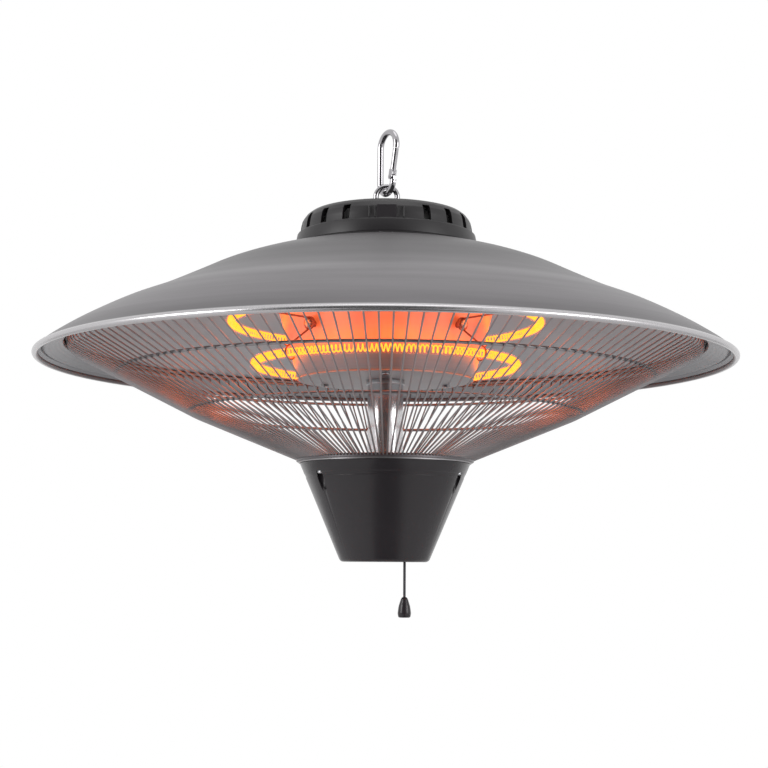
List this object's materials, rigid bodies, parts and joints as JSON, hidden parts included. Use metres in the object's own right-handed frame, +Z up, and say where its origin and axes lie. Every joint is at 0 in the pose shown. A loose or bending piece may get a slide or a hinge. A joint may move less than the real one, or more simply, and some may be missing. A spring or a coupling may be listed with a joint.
{
  "type": "hanging patio heater",
  "caption": "Ceiling-hung electric patio heater: spun metal canopy, glowing quartz rings around a polished drum, wire guard, black switch cup with pull cord, eye bolt and snap hook.",
  "frame": {"origin": "the seat inside the top of the snap hook, straight above the eye bolt, where the heater hangs from the ceiling", "axes": "+Z up, -Y is the pictured front, +X to the right in the picture"},
  "size_m": [0.6, 0.6, 0.4252],
  "materials": {
    "black_plastic": "fine satin moulded plastic",
    "canopy_paint": "satin metallic grey coat on spun sheet",
    "polished_steel": "polished sheet steel",
    "reflector_sheet": "bright rolled aluminium",
    "chrome_plate": "chrome plated",
    "guard_steel": "chrome plated wire",
    "zinc_steel": "bright zinc plated",
    "bracket_wire": "heat-tinted spring wire",
    "quartz": "clear fused quartz, warm when lit",
    "filament": "glowing resistance wire",
    "ceramic": "unglazed steatite",
    "terminal_brass": "plain",
    "terminal_plastic": "moulded",
    "rubber": "soft matt",
    "cord": "tight braided cord"
  },
  "bodies": {
    "snap_hook": {"snap_hook_body": "chrome_plate", "snap_hook_gate_pin": "chrome_plate"},
    "hook_gate": {"snap_hook_gate": "chrome_plate"},
    "heater": {"bracket_screws": "zinc_steel", "cable_gland": "black_plastic", "cable_gland_nut": "black_plastic", "canopy": "canopy_paint", "cap_gasket": "rubber", "cap_screws": "zinc_steel", "ceramic_holders": "ceramic", "column_collar": "polished_steel", "column_tube": "polished_steel", "cord_grommet": "rubber", "coupling_nut": "zinc_steel", "crown_washer": "zinc_steel", "cup_screws": "zinc_steel", "drum": "polished_steel", "drum_plate": "polished_steel", "drum_plate_screws": "zinc_steel", "drum_screws": "zinc_steel", "eye_bolt": "chrome_plate", "guard_band": "guard_steel", "guard_lower_ring": "guard_steel", "guard_top_ring": "guard_steel", "guard_upper_ring": "guard_steel", "guard_wires": "guard_steel", "hub_plate": "guard_steel", "lead_grommet": "rubber", "lower_filament": "filament", "lower_quartz_ring": "quartz", "reflector": "reflector_sheet", "ring_brackets": "bracket_wire", "switch_body": "black_plastic", "switch_cup": "black_plastic", "switch_lever_pin": "zinc_steel", "switch_screws": "zinc_steel", "terminal_block": "terminal_plastic", "terminal_screws": "terminal_brass", "tie_rod": "zinc_steel", "tie_rod_nut": "zinc_steel", "tie_rod_sleeve": "zinc_steel", "tie_rod_washer": "zinc_steel", "top_cap": "black_plastic", "upper_filament": "filament", "upper_quartz_ring": "quartz", "wire_loom": "rubber"},
    "pull": {"pull_cord": "cord", "cord_ferrule": "zinc_steel", "pull_knob": "black_plastic"},
    "lever": {"switch_lever": "black_plastic"}
  },
  "joints": [
    {"name": "gate_hinge", "type": "hinge", "parent": "snap_hook", "child": "hook_gate", "pos_m": [0.00471, -0.00754, -0.03797], "axis": [-0.848, -0.5299, 0], "range_deg": [0, 22], "stiffness_Nm_per_rad": 0.1},
    {"name": "heater_swing", "type": "hinge", "parent": "snap_hook", "child": "heater", "pos_m": [0, 0, -0.04519], "axis": [1, 0, 0], "range_deg": [-20, 20]},
    {"name": "cord_pull", "type": "slide", "parent": "heater", "child": "pull", "axis": [0, 0, -1], "range_m": [0, 0.01], "stiffness_N_per_m": 400},
    {"name": "lever_turn", "type": "hinge", "parent": "heater", "child": "lever", "pos_m": [-0.0071, -0.022, -0.31509], "axis": [0, 1, 0], "range_deg": [0, 24]}
  ],
  "couplings": [
    {"joint": "lever_turn", "follows": "cord_pull", "rad_per_m": 41.667}
  ]
}
